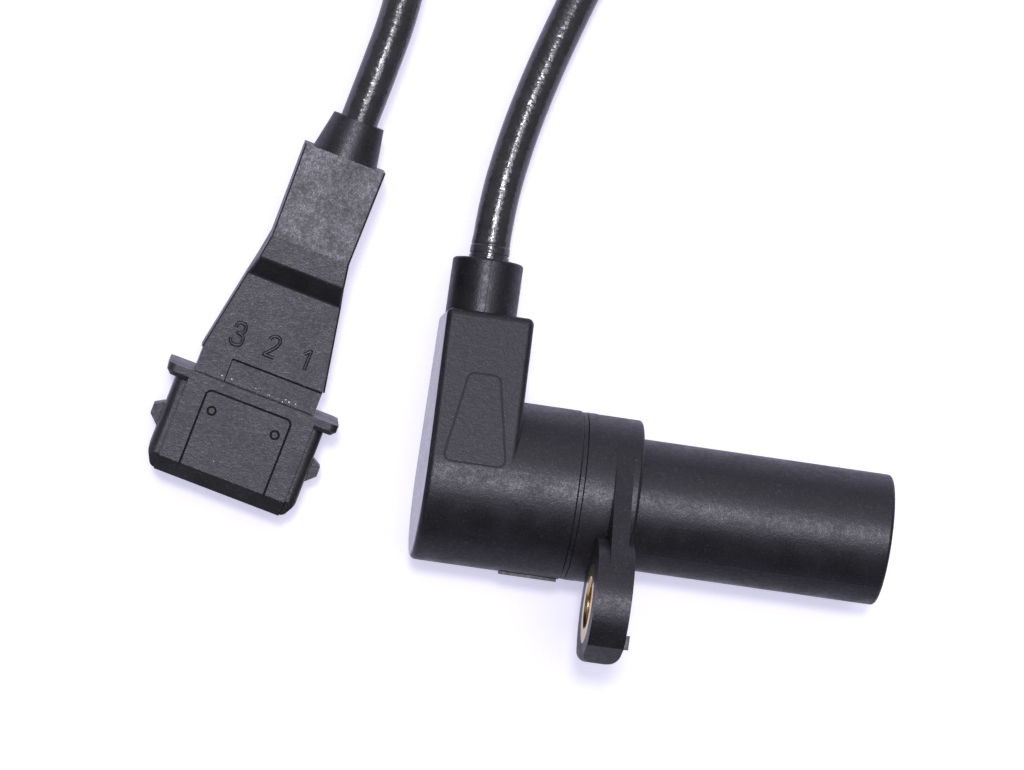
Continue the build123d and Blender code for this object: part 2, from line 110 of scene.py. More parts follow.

# Free cable: the solids' route, its points listed, with its heights moved after the
# photograph, and how far it runs straight at both ends
FROM_SENSOR = [
    (-0.0224, 0.0464, -0.0034),
    (-0.0204, 0.0549, -0.0042),
    (-0.0179, 0.0634, -0.0051),
    (-0.0146, 0.0732, -0.0066),
    (-0.0089, 0.0809, -0.0078),
    (-0.0012, 0.0872, -0.0083),
    (0.0040, 0.0954, -0.0083),
]
TO_PLUG = [
    (-0.0522, 0.1000, -0.0036),
    (-0.0494, 0.0922, -0.0030),
    (-0.0445, 0.0854, -0.0029),
    (-0.0411, 0.0776, -0.0029),
    (-0.0400, 0.0692, -0.0030),
    (-0.0407, 0.0612, -0.0020),
]
CABLE_LEAD = 0.0070
COIL_CENTRE = (-0.0250, 0.1066)
COIL_LOW = -0.0083
COIL_STEP = math.radians(15)
COIL_FIRST = math.radians(-6)
COIL_LAST = math.radians(900)
LANE_CHANGE = (math.radians(235), math.radians(300))
LANE_APART = 1.01
CLIMB_OVER = math.radians(120)

# Swelling of the jacket with two fine rings: height over the jacket and place from the sleeve's mouth
SWELL = [
    (0.00012, -0.0005),
    (0.00014, 0.0006),
    (0.00004, 0.0007),
    (0.00004, 0.0009),
    (0.00014, 0.0010),
    (0.00010, 0.0019),
    (0.00002, 0.0020),
    (0.00002, 0.0022),
    (0.00007, 0.0023),
    (-0.00005, 0.0034),
]
SWELL_INSIDE = 0.8

# Middle of each numeral's stroke, in heights of the numeral
NUMERALS = {
    "3": [(-0.24, 0.78), (-0.22, 1.04), (0.04, 1.10), (0.27, 1.0), (0.25, 0.60), (-0.06, 0.54), (-0.06, 0.54)]
    + [(0.30, 0.50), (0.33, 0.02), (0.02, -0.10), (-0.26, -0.02), (-0.29, 0.20)],
    "2": [(-0.24, 0.80), (-0.16, 1.08), (0.30, 1.04), (0.28, 0.60), (-0.28, 0.0), (-0.28, 0.0), (0.28, 0.0)],
    "1": [(-0.16, 0.74), (0.10, 1.0), (0.10, 1.0), (0.10, 0.0)],
}

# Ways of the circuit, as the nodes of the strips and the cores name them
WAYS = ("signal", "return", "shield")

# Camera: the point it looks at, its film's width in millimetres, and its nearest and farthest
AIM = (-0.01835, 0.0137, 0.0)
FILM_WIDTH = 36.0
CAMERA_REACH = (0.01, 50.0)

# Lamps: the width of each and its turn about X and Y, in degrees
LAMPS = {
    "key": (30, -4, 2),
    "window": (6, -9.5, -5),
    "fill": (60, -52, -8),
}

# Floor: half its side, its glow to the camera and in smooth faces, and the stretch of Y over which
# that second glow comes down, towards the ear's side, to a share
FLOOR_HALF = 8.0
FLOOR_GLOW = 0.50
FLOOR_MIRRORED = 0.65
FLOOR_DIMS = (-0.028, -0.010)
FLOOR_DIMMED = 0.4

# Finish of the mouldings and the jacket
PLASTIC_IOR = 1.55
JACKET_IOR = 1.7
GRAIN_DEEP = 0.00003
PITS_DEEP = 0.00006

# Colours of dust, of painted light in the panel's line, sheen and stage, and what has no setting of its own
DUST = (0.3, 0.3, 0.32)
PANEL_PAINTED_LIGHT = (0.09, 0.088, 0.10)
CREASE_DUST = (0.85, 0.85, 0.88)
PLASTIC_SHEEN = (0.87, 0.84, 1.0, 1.0)
JACKET_SHEEN = (0.91, 0.90, 1.0, 1.0)
NYLON = (0.62, 0.57, 0.46)
TIE = (0.02, 0.02, 0.022)
CORE = (0.50, 0.10, 0.08)
PAPER_SEEN = (0.75, 0.745, 0.76)
PAPER_LIT = (0.26, 0.255, 0.28)
GLOW = (0.93, 0.90, 1.2)
SKY = (0.96, 0.95, 1.0)
WHITE = (1.0, 1.0, 1.0)


class StageSettings(bpy.types.PropertyGroup):
    """Camera and light"""

    tilt: FloatProperty(
        name="Tilt",
        description="Camera's lean to the left of straight down",
        default=math.radians(4.7),
        subtype="ANGLE",
    )
    roll: FloatProperty(
        name="Roll",
        description="Camera's turn about its own view",
        default=math.radians(8.28),
        subtype="ANGLE",
    )
    distance: FloatProperty(
        name="Distance",
        description="From the camera to the point it looks at",
        default=0.680,
        unit="LENGTH",
    )
    lens: FloatProperty(name="Lens", description="Focal length in millimetres", default=175.78)
    key: FloatProperty(name="Key light", description="Strength of the wide light overhead", default=1.1)
    window: FloatProperty(
        name="Window light",
        description="Strength of the narrow light that throws the shadow",
        default=1.1,
    )
    fill: FloatProperty(
        name="Fill light",
        description="Strength of the light from the cable's side",
        default=0.65,
    )
    sky: FloatProperty(name="Sky", description="Strength of the light from all round", default=0.08)


class CableSettings(bpy.types.PropertyGroup):
    """Free cable"""

    diameter: FloatProperty(
        name="Diameter",
        description="Outside of the jacket",
        default=0.0052,
        unit="LENGTH",
    )
    length: FloatProperty(
        name="Length",
        description="Real length of the free cable",
        default=0.585,
        unit="LENGTH",
    )
    coil_radius: FloatProperty(
        name="Coil radius",
        description="Middle of the turns",
        default=0.0280,
        unit="LENGTH",
    )
    colour: FloatVectorProperty(
        name="Jacket",
        description="Colour of the jacket",
        default=(0.036, 0.0355, 0.042),
        size=3,
        subtype="COLOR",
    )


class PlasticSettings(bpy.types.PropertyGroup):
    """Mouldings of the sensor and the plug"""

    housing: FloatVectorProperty(
        name="Housing",
        description="Colour of barrel, collar and ear",
        default=(0.013, 0.0125, 0.016),
        size=3,
        subtype="COLOR",
    )
    head: FloatVectorProperty(
        name="Head",
        description="Colour of head and sleeve",
        default=(0.013, 0.0125, 0.016),
        size=3,
        subtype="COLOR",
    )
    plug: FloatVectorProperty(
        name="Plug",
        description="Colour of the plug",
        default=(0.024, 0.0235, 0.029),
        size=3,
        subtype="COLOR",
    )
    speck: FloatVectorProperty(
        name="Speckle",
        description="Colour of the glass specks",
        default=(0.12, 0.12, 0.135),
        size=3,
        subtype="COLOR",
    )
    roughness: FloatProperty(
        name="Roughness",
        description="Middle roughness of the mouldings",
        default=0.43,
        min=0,
        max=1,
    )


class MetalSettings(bpy.types.PropertyGroup):
    """Bush, blades and works"""

    brass: FloatVectorProperty(
        name="Brass",
        description="Colour of the bush",
        default=(0.93, 0.73, 0.36),
        size=3,
        subtype="COLOR",
    )
    tin: FloatVectorProperty(
        name="Tin",
        description="Colour of the blades",
        default=(0.70, 0.69, 0.66),
        size=3,
        subtype="COLOR",
    )
    iron: FloatVectorProperty(
        name="Iron",
        description="Colour of the pin",
        default=(0.56, 0.56, 0.57),
        size=3,
        subtype="COLOR",
    )
    copper: FloatVectorProperty(
        name="Copper",
        description="Colour of the winding",
        default=(0.72, 0.34, 0.16),
        size=3,
        subtype="COLOR",
    )


# Shader helpers

def add(tree, kind, **settings):
    """A new node with its settings"""
    node = tree.nodes.new(kind)
    for name, value in settings.items():
        setattr(node, name, value)
    return node


def feed(tree, socket, value):
    """Sets a socket to a number or a colour, or links it to another node's output"""
    if isinstance(value, (int, float)):
        socket.default_value = value
    elif isinstance(value, tuple):
        socket.default_value = (*value, 1.0)[: len(socket.default_value)]
    else:
        tree.links.new(value, socket)


def math_node(tree, operation, first, second=0.0):
    """A Math node from sockets or numbers"""
    node = add(tree, "ShaderNodeMath", operation=operation)
    feed(tree, node.inputs[0], first)
    feed(tree, node.inputs[1], second)
    return node.outputs[0]


def map_range(tree, value, low, high, to_low=0.0, to_high=1.0):
    """Soft clamped ramp of a value"""
    node = add(tree, "ShaderNodeMapRange", interpolation_type="SMOOTHSTEP")
    tree.links.new(value, node.inputs["Value"])
    for name, limit in (("From Min", low), ("From Max", high), ("To Min", to_low), ("To Max", to_high)):
        node.inputs[name].default_value = limit
    return node.outputs["Result"]


def mix_colour(tree, share, first, second):
    """A colour mix of sockets or colours"""
    node = add(tree, "ShaderNodeMix", data_type="RGBA")
    for place, value in ((0, share), (6, first), (7, second)):
        feed(tree, node.inputs[place], value)
    return node.outputs[2]


def shaded(tree, colour, tone):
    """A colour made darker or lighter by a tone"""
    node = add(tree, "ShaderNodeVectorMath", operation="SCALE")
    feed(tree, node.inputs[0], colour)
    feed(tree, node.inputs["Scale"], tone)
    return node.outputs[0]


def noise(tree, vector, scale, detail=2.0):
    """Noise of a size given per metre"""
    node = add(tree, "ShaderNodeTexNoise")
    for name, value in (("Vector", vector), ("Scale", scale), ("Detail", detail)):
        feed(tree, node.inputs[name], value)
    return node.outputs["Fac"]


def new_group(name, inputs, outputs):
    """A shader group with named sockets"""
    group = bpy.data.node_groups.new(name, "ShaderNodeTree")
    for label, kind, value in inputs:
        socket = group.interface.new_socket(label, in_out="INPUT", socket_type=kind)
        if value is not None:
            socket.default_value = value
    for label, kind in outputs:
        group.interface.new_socket(label, in_out="OUTPUT", socket_type=kind)
    start = add(group, "NodeGroupInput")
    end = add(group, "NodeGroupOutput")
    return group, start.outputs, end.inputs


def moulded_grain():
    """Glass-filled plastic: fine specks and slow mottling"""
    known = bpy.data.node_groups.get("moulded_grain")
    if known:
        return known
    group, given, made = new_group(
        "moulded_grain",
        [
            ("Vector", "NodeSocketVector", None),
            ("Base", "NodeSocketColor", (0.03, 0.03, 0.03, 1)),
            ("Speck", "NodeSocketColor", (0.2, 0.2, 0.2, 1)),
            ("Speckle", "NodeSocketFloat", 0.4),
            ("Grain Scale", "NodeSocketFloat", 4000.0),
            ("Roughness", "NodeSocketFloat", 0.5),
        ],
        [("Color", "NodeSocketColor"), ("Roughness", "NodeSocketFloat"), ("Height", "NodeSocketFloat")],
    )
    fine = noise(group, given["Vector"], given["Grain Scale"])
    slow = noise(group, given["Vector"], scale=260.0, detail=4.0)
    middle = noise(group, given["Vector"], scale=1500.0)
    specks = map_range(group, fine, 0.52, 0.74)
    share = math_node(group, "MULTIPLY", specks, given["Speckle"])
    share = math_node(group, "MULTIPLY", share, map_range(group, middle, 0.30, 0.70))
    mottled = shaded(group, given["Base"], map_range(group, slow, 0.30, 0.72, 0.85, 1.15))
    group.links.new(mix_colour(group, share, mottled, given["Speck"]), made["Color"])
    rough = math_node(group, "ADD", map_range(group, slow, 0.32, 0.68, -0.05, 0.05), given["Roughness"])
    rough = math_node(group, "ADD", map_range(group, middle, 0.30, 0.70, 0.045, -0.045), rough)
    rough = math_node(group, "ADD", map_range(group, fine, 0.30, 0.70, 0.05, -0.05), rough)
    group.links.new(rough, made["Roughness"])
    group.links.new(math_node(group, "ADD", fine, middle), made["Height"])
    return group


def dust_specks():
    """Sparse specks of dust: a mask that is 1 on a speck"""
    known = bpy.data.node_groups.get("dust_specks")
    if known:
        return known
    group, given, made = new_group(
        "dust_specks",
        [
            ("Vector", "NodeSocketVector", None),
            ("Cells", "NodeSocketFloat", 420.0),
            ("Size", "NodeSocketFloat", 0.045),
            ("Share", "NodeSocketFloat", 0.12),
        ],
        [("Mask", "NodeSocketFloat")],
    )
    cells = add(group, "ShaderNodeTexVoronoi", feature="F1")
    group.links.new(given["Vector"], cells.inputs["Vector"])
    group.links.new(given["Cells"], cells.inputs["Scale"])
    near = math_node(group, "LESS_THAN", cells.outputs["Distance"], given["Size"])
    split = add(group, "ShaderNodeSeparateColor")
    group.links.new(cells.outputs["Color"], split.inputs[0])
    kept = math_node(group, "LESS_THAN", split.outputs[0], given["Share"])
    group.links.new(math_node(group, "MULTIPLY", near, kept), made["Mask"])
    return group


def place_group(tree, group, **values):
    """A group node with its own values"""
    node = add(tree, "ShaderNodeGroup", node_tree=group)
    for name, value in values.items():
        feed(tree, node.inputs[name], value)
    return node


def new_material(name):
    """A material with a Principled shader and object coordinates"""
    material = bpy.data.materials.new(name)
    material.use_nodes = True
    tree = material.node_tree
    tree.nodes.clear()
    output = add(tree, "ShaderNodeOutputMaterial")
    shader = add(tree, "ShaderNodeBsdfPrincipled")
    tree.links.new(shader.outputs["BSDF"], output.inputs["Surface"])
    where = add(tree, "ShaderNodeTexCoord").outputs["Object"]
    return material, tree, shader, where


def add_bump(tree, shader, height, distance, strength=1.0):
    """Bump of a height, whose full step is the distance in metres"""
    bump = add(tree, "ShaderNodeBump")
    bump.inputs["Strength"].default_value = strength
    bump.inputs["Distance"].default_value = distance
    tree.links.new(height, bump.inputs["Height"])
    tree.links.new(bump.outputs["Normal"], shader.inputs["Normal"])


def light_path(tree):
    """The ray's kind, and 1 where the camera looks straight or through something clear"""
    path = add(tree, "ShaderNodeLightPath").outputs
    return path, math_node(tree, "MAXIMUM", path["Is Camera Ray"], path["Is Transmission Ray"])


def own_place(tree, where, matrix):
    """X, Y and Z as a piece has them in its own place"""
    turn = add(tree, "ShaderNodeMapping")
    back = matrix.inverted()
    turn.inputs["Location"].default_value = back.to_translation()
    turn.inputs["Rotation"].default_value = back.to_euler()
    tree.links.new(where, turn.inputs["Vector"])
    split = add(tree, "ShaderNodeSeparateXYZ")
    tree.links.new(turn.outputs[0], split.inputs[0])
    return split.outputs


def between(tree, value, low, high):
    """1 where a value lies between two limits"""
    middle = math_node(tree, "SUBTRACT", value, (low + high) / 2)
    return math_node(tree, "LESS_THAN", math_node(tree, "ABSOLUTE", middle), (high - low) / 2)


def ridge(tree, value, middle):
    """A fine ridge where a value passes its middle: 1 on its crest, 0 beside it"""
    off = math_node(tree, "ABSOLUTE", math_node(tree, "SUBTRACT", value, middle))
    return map_range(tree, off, 0.0, SEAM_HALF, 1.0, 0.0)


def sleeve_seam(tree, where):
    """The mould's seam along the top of the sleeve"""
    across, along, up = own_place(tree, where, SENSOR)
    line = ridge(tree, across, SLEEVE_X)
    line = math_node(tree, "MULTIPLY", line, between(tree, along, TOWER_TOP, SLEEVE_MOUTH))
    return math_node(tree, "MULTIPLY", line, math_node(tree, "GREATER_THAN", up, 0.0))


def barrel_seam(tree, where):
    """The mould's seam along the barrel"""
    along, across, up = own_place(tree, where, Matrix.Identity(4))
    line = ridge(tree, across, -BARREL_R * math.sin(BARREL_SEAM))
    line = math_node(tree, "MULTIPLY", line, math_node(tree, "GREATER_THAN", along, BARREL_FOOT))
    return math_node(tree, "MULTIPLY", line, math_node(tree, "GREATER_THAN", up, 0.0))


def panel_painted_light(tree, where):
    """Painted light in the fine line round the tower's panel, lightening its shade: 1 in the line, 0 on the
    face
    """
    across, along, up = own_place(tree, where, SENSOR @ Matrix.Rotation(-TOWER_LEAN, 4, "X"))
    fall = math_node(tree, "MINIMUM", along, 0.0)
    fall = math_node(tree, "MULTIPLY", fall, fall)
    reach = math_node(tree, "SQRT", math_node(tree, "ADD", fall, math_node(tree, "MULTIPLY", up, up)))
    deep = math_node(tree, "SUBTRACT", HEAD_R, reach)
    mask = math_node(tree, "MULTIPLY", between(tree, along, *PANEL_ALONG), between(tree, deep, *PANEL_DEEP))
    mask = math_node(tree, "MULTIPLY", mask, between(tree, across, *PANEL_ACROSS))
    return math_node(tree, "MULTIPLY", mask, math_node(tree, "GREATER_THAN", up, 0.0))


def crease_dust(tree, where):
    """Bright grains of dust in the crease between the plug's collar and its neck: 1 on a grain"""
    across, along, up = own_place(tree, where, PLUG)
    band = between(tree, along, *CREASE_ALONG)
    band = math_node(tree, "MULTIPLY", band, between(tree, across, *CREASE_ACROSS))
    band = math_node(tree, "MULTIPLY", band, between(tree, up, *CREASE_UP))
    share = math_node(tree, "MULTIPLY", band, CREASE_FULL)
    grains = place_group(tree, dust_specks(), Vector=where, Cells=2100.0, Size=0.22, Share=share)
    return grains.outputs["Mask"]


def moulded_plastic(name, colour, speckle=0.35, dust=0.12, smooth_back=False, dust_and_painted_light=None, seam=None):
    """Matt moulded plastic with glass specks and a little dust, and what one moulding has of its own"""
    material, tree, shader, where = new_material(name)
    plastic = bpy.context.scene.sensor_plastic
    grain = place_group(
        tree,
        moulded_grain(),
        Vector=where,
        Base=tuple(colour),
        Speck=tuple(plastic.speck),
        Speckle=speckle,
        Roughness=plastic.roughness,
    )
    specks = place_group(tree, dust_specks(), Vector=where, Share=dust)
    colour = mix_colour(tree, specks.outputs["Mask"], grain.outputs["Color"], DUST)
    height = grain.outputs["Height"]
    # A mark mixed into the colour: dust in the plug's crease, painted light that lightens the shade of the
    # tower's panel line
    if dust_and_painted_light:
        place, dust_and_light_colour = dust_and_painted_light
        colour = mix_colour(tree, place(tree, where), colour, dust_and_light_colour)
    if seam:
        height = math_node(tree, "ADD", height, math_node(tree, "MULTIPLY", seam(tree, where), SEAM_HIGH))
    tree.links.new(colour, shader.inputs["Base Color"])
    rough = grain.outputs["Roughness"]
    if smooth_back:
        split = add(tree, "ShaderNodeSeparateXYZ")
        tree.links.new(where, split.inputs[0])
        fade = (HEAD_BACK_X, HEAD_BACK_X + HEAD_BACK_FADE, HEAD_BACK_ROUGH)
        rough = math_node(tree, "MULTIPLY", rough, map_range(tree, split.outputs["X"], *fade))
    tree.links.new(rough, shader.inputs["Roughness"])
    shader.inputs["Specular Tint"].default_value = PLASTIC_SHEEN
    shader.inputs["IOR"].default_value = PLASTIC_IOR
    add_bump(tree, shader, height, distance=GRAIN_DEEP, strength=0.7)
    return material


def turned_metal(name, colour, roughness, along, rings):
    """Turned or drawn metal with fine lines across one direction"""
    material, tree, shader, where = new_material(name)
    stretch = add(tree, "ShaderNodeMapping")
    stretch.inputs["Scale"].default_value = along
    tree.links.new(where, stretch.inputs["Vector"])
    lines = noise(tree, stretch.outputs["Vector"], scale=rings, detail=3.0)
    patches = noise(tree, where, scale=500.0, detail=3.0)
    tint = shaded(tree, tuple(colour), map_range(tree, patches, 0.3, 0.7, 0.82, 1.0))
    tree.links.new(tint, shader.inputs["Base Color"])
    rough = map_range(tree, lines, 0.3, 0.7, roughness * 0.75, roughness * 1.3)
    tree.links.new(rough, shader.inputs["Roughness"])
    shader.inputs["Metallic"].default_value = 1.0
    add_bump(tree, shader, lines, distance=0.00001, strength=0.5)
    return material


def plain_plastic(name, colour, roughness):
    """Smooth plastic with slight unevenness"""
    material, tree, shader, where = new_material(name)
    cloud = noise(tree, where, scale=700.0, detail=3.0)
    tint = shaded(tree, colour, map_range(tree, cloud, 0.3, 0.7, 0.85, 1.1))
    tree.links.new(tint, shader.inputs["Base Color"])
    rough = map_range(tree, cloud, 0.3, 0.7, roughness * 0.85, roughness * 1.15)
    tree.links.new(rough, shader.inputs["Roughness"])
    add_bump(tree, shader, cloud, distance=0.00002, strength=0.4)
    return material


def wound_wire(name, colour):
    """Enamelled copper wire, turn beside turn along the spool"""
    material, tree, shader, where = new_material(name)
    turns = add(tree, "ShaderNodeTexWave", wave_type="BANDS", bands_direction="X")
    turns.inputs["Scale"].default_value = 1600.0
    turns.inputs["Distortion"].default_value = 0.4
    tree.links.new(where, turns.inputs["Vector"])
    # Darker in bands between the turns: painted shade of the grooves between the wires
    painted_groove_shade = tuple(0.35 * part for part in colour)
    tint = mix_colour(tree, turns.outputs["Fac"], painted_groove_shade, tuple(colour))
    tree.links.new(tint, shader.inputs["Base Color"])
    tree.links.new(map_range(tree, turns.outputs["Fac"], 0.0, 1.0, 0.5, 0.28), shader.inputs["Roughness"])
    shader.inputs["Metallic"].default_value = 1.0
    add_bump(tree, shader, turns.outputs["Fac"], distance=0.00005)
    return material


def jacket(name, colour):
    """Glossy jacket whose skin is finely pitted, so that its highlight sparkles"""
    material, tree, shader, where = new_material(name)
    ripple = noise(tree, where, scale=500.0)
    pits = noise(tree, where, scale=1700.0)
    lighter = tuple(1.25 * part for part in colour)
    tint = mix_colour(tree, map_range(tree, ripple, 0.35, 0.7), tuple(colour), lighter)
    tree.links.new(tint, shader.inputs["Base Color"])
    tree.links.new(map_range(tree, pits, 0.35, 0.7, 0.17, 0.30), shader.inputs["Roughness"])
    height = math_node(tree, "ADD", math_node(tree, "MULTIPLY", ripple, 0.3), pits)
    shader.inputs["IOR"].default_value = JACKET_IOR
    shader.inputs["Specular Tint"].default_value = JACKET_SHEEN
    add_bump(tree, shader, height, distance=PITS_DEEP)
    return material


# Mesh helpers

def new_piece(name, mesh, material):
    """Puts a finished mesh in the scene, riding on the part"""
    piece = bpy.data.objects.new(name, mesh)
    bpy.context.scene.collection.objects.link(piece)
    mesh.materials.append(material)
    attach(piece, "root")
    return piece


def mesh_from(bm, name):
    """Writes a bmesh to a mesh, smooth but for its sharp edges"""
    bmesh.ops.recalc_face_normals(bm, faces=bm.faces)
    mesh = bpy.data.meshes.new(name)
    bm.to_mesh(mesh)
    bm.free()
    mesh.polygons.foreach_set("use_smooth", [True] * len(mesh.polygons))
    mesh.set_sharp_from_angle(angle=SHARP_ANGLE)
    return mesh


def turned(name, profile, matrix):
    """A ring turned about its own Y axis from (radius, along) points, closed on itself"""
    bm = bmesh.new()
    corners = [bm.verts.new((radius, along, 0)) for radius, along in profile]
    edges = [bm.edges.new((first, second)) for first, second in zip(corners, corners[1:] + corners[:1])]
    bmesh.ops.spin(
        bm,
        geom=corners + edges,
        cent=(0, 0, 0),
        axis=(0, 1, 0),
        angle=math.tau,
        steps=TURN_STEPS,
        use_merge=True,
    )
    bmesh.ops.remove_doubles(bm, verts=bm.verts, dist=1e-7)
    bmesh.ops.transform(bm, matrix=matrix, verts=bm.verts)
    return mesh_from(bm, name)


def dress(nodes, material):
    """Gives CAD nodes their finish"""
    for name in nodes:
        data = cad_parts[name].data
        data.materials.clear()
        data.materials.append(material)


# Cable

def smooth_step(value):
    """0 to 1 with soft ends"""
    value = min(1.0, max(0.0, value))
    return value * value * (3 - 2 * value)


def coil_points(cable):
    """Round the coil: the outer lane, the inner lane, then up to lie between them"""
    apart = cable.diameter * LANE_APART
    outer = cable.coil_radius + apart / 2
    change_from, change_to = LANE_CHANGE
    points = []
    for turn in range(round((COIL_LAST - COIL_FIRST) / COIL_STEP) + 1):
        angle = COIL_FIRST + turn * COIL_STEP
        change = smooth_step((angle - change_from) / (change_to - change_from))
        climb = smooth_step((angle - math.tau - change_from) / (change_to - change_from))
        over = CLIMB_OVER * climb
        radius = outer - apart * change
        height = 0.0
        if angle > math.tau:
            radius = outer - apart * climb - apart * math.cos(over)
            height = apart * math.sin(over)
        radius /= math.cos(COIL_STEP / 2)
        x = COIL_CENTRE[0] + radius * math.cos(angle)
        y = COIL_CENTRE[1] + radius * math.sin(angle)
        points.append((x, y, COIL_LOW + height))
    return points


def cable_route(cable):
    """Whole route, from the sleeve's mouth to the plug's cone"""
    leave = [SENSOR @ Vector((SLEEVE_X, SLEEVE_MOUTH + far, 0)) for far in (0, CABLE_LEAD)]
    arrive = [PLUG @ Vector((0, CONE_BACK + far, 0)) for far in (CABLE_LEAD, 0)]
    return [*leave, *FROM_SENSOR, *coil_points(cable), *TO_PLUG, *arrive]


class SENSOR_OT_camera(bpy.types.Operator):
    """Put the camera where the photograph was taken from"""

    bl_idname = "sensor.camera"
    bl_label = "Camera"

    def execute(self, context):
        stage = context.scene.sensor_stage
        look = Vector((math.sin(stage.tilt), 0, -math.cos(stage.tilt)))
        side = Vector((math.cos(stage.tilt), 0, math.sin(stage.tilt)))
        top = Vector((0, 1, 0))
        right = side * math.cos(stage.roll) + top * math.sin(stage.roll)
        up = top * math.cos(stage.roll) - side * math.sin(stage.roll)
        data = bpy.data.cameras.new("camera")
        data.sensor_fit = "HORIZONTAL"
        data.sensor_width = FILM_WIDTH
        data.lens = stage.lens
        data.clip_start, data.clip_end = CAMERA_REACH
        camera = bpy.data.objects.new("camera", data)
        turn = Matrix((right, up, -look)).transposed().to_4x4()
        camera.matrix_world = Matrix.Translation(Vector(AIM) - look * stage.distance) @ turn
        context.scene.collection.objects.link(camera)
        context.scene.camera = camera
        return {"FINISHED"}


class SENSOR_OT_cable(bpy.types.Operator):
    """Lay the free cable from the sleeve, round its tied coil, to the plug"""

    bl_idname = "sensor.cable"
    bl_label = "Cable"

    def execute(self, context):
        cable = context.scene.sensor_cable
        route = cable_route(cable)
        data = bpy.data.curves.new("free_cable", "CURVE")
        data.dimensions = "3D"
        data.resolution_u = 10
        data.bevel_depth = cable.diameter / 2
        data.bevel_resolution = 8
        data.use_fill_caps = True
        spline = data.splines.new("NURBS")
        spline.points.add(len(route) - 1)
        for point, place in zip(spline.points, route):
            point.co = (*place, 1.0)
        spline.order_u = 3
        spline.use_endpoint_u = True
        skin = jacket("cable_jacket", cable.colour)
        piece = new_piece("free_cable", data, skin)
        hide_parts("lead_from_sensor", "cable_coil", "lead_to_plug")
        dress(["sensor_cable_end", "plug_cable_end"], skin)
        swell = self.swell(cable, skin)
        return {"FINISHED"}

    def swell(self, cable, skin):
        """Slight swelling of the jacket with two fine rings, just outside the sleeve"""
        radius = cable.diameter / 2
        inside = [(radius * SWELL_INSIDE, SWELL[end][1]) for end in (0, -1)]
        profile = [inside[0], *((radius + over, along) for over, along in SWELL), inside[1]]
        matrix = SENSOR @ Matrix.Translation((SLEEVE_X, SLEEVE_MOUTH, 0))
        return new_piece("cable_swell", turned("cable_swell", profile, matrix), skin)


class SENSOR_OT_housing(bpy.types.Operator):
    """Finish the barrel, the collar and the ear, and the head behind them"""

    bl_idname = "sensor.housing"
    bl_label = "Housing and head"

    def execute(self, context):
        plastic = context.scene.sensor_plastic
        housing = moulded_plastic("housing_plastic", plastic.housing, seam=barrel_seam)
        dress(["sensor_housing"], housing)
        head = moulded_plastic(
            "head_plastic",
            plastic.head,
            smooth_back=True,
            # The tower's panel line gets painted light that lightens its shade
            dust_and_painted_light=(panel_painted_light, PANEL_PAINTED_LIGHT),
            seam=sleeve_seam,
        )
        dress(["elbow_head"], head)
        return {"FINISHED"}


class SENSOR_OT_bush(bpy.types.Operator):
    """Finish the brass bush in the ear"""

    bl_idname = "sensor.bush"
    bl_label = "Bush"

    def execute(self, context):
        metal = context.scene.sensor_metal
        brass = turned_metal("bush_brass", metal.brass, roughness=0.22, along=(3.0, 1.0, 1.0), rings=250.0)
        dress(["mounting_bush"], brass)
        return {"FINISHED"}


class SENSOR_OT_works(bpy.types.Operator):
    """Finish the works inside the mouldings"""

    bl_idname = "sensor.works"
    bl_label = "Works"

    def execute(self, context):
        metal = context.scene.sensor_metal
        steel = turned_metal("pin_steel", metal.iron, roughness=0.35, along=(8.0, 1.0, 1.0), rings=500.0)
        dress(["pole_pin"], steel)
        grey = tuple(0.75 * part for part in metal.iron)
        plated = turned_metal("magnet_metal", grey, roughness=0.30, along=(1.0, 1.0, 1.0), rings=900.0)
        dress(["magnet"], plated)
        dress(["coil_bobbin"], plain_plastic("bobbin_nylon", NYLON, roughness=0.45))
        dress(["coil_winding"], wound_wire("winding_copper", metal.copper))
        strip = turned_metal(
            "terminal_brass", metal.brass, roughness=0.30, along=(1.0, 8.0, 1.0), rings=400.0
        )
        dress(["terminal_" + way for way in WAYS], strip)
        cores = [place + way for place in ("sensor_core_", "plug_core_") for way in WAYS]
        dress(cores, plain_plastic("core_insulation", CORE, roughness=0.35))
        dress(["coil_tie"], plain_plastic("tie_nylon", TIE, roughness=0.4))
        return {"FINISHED"}


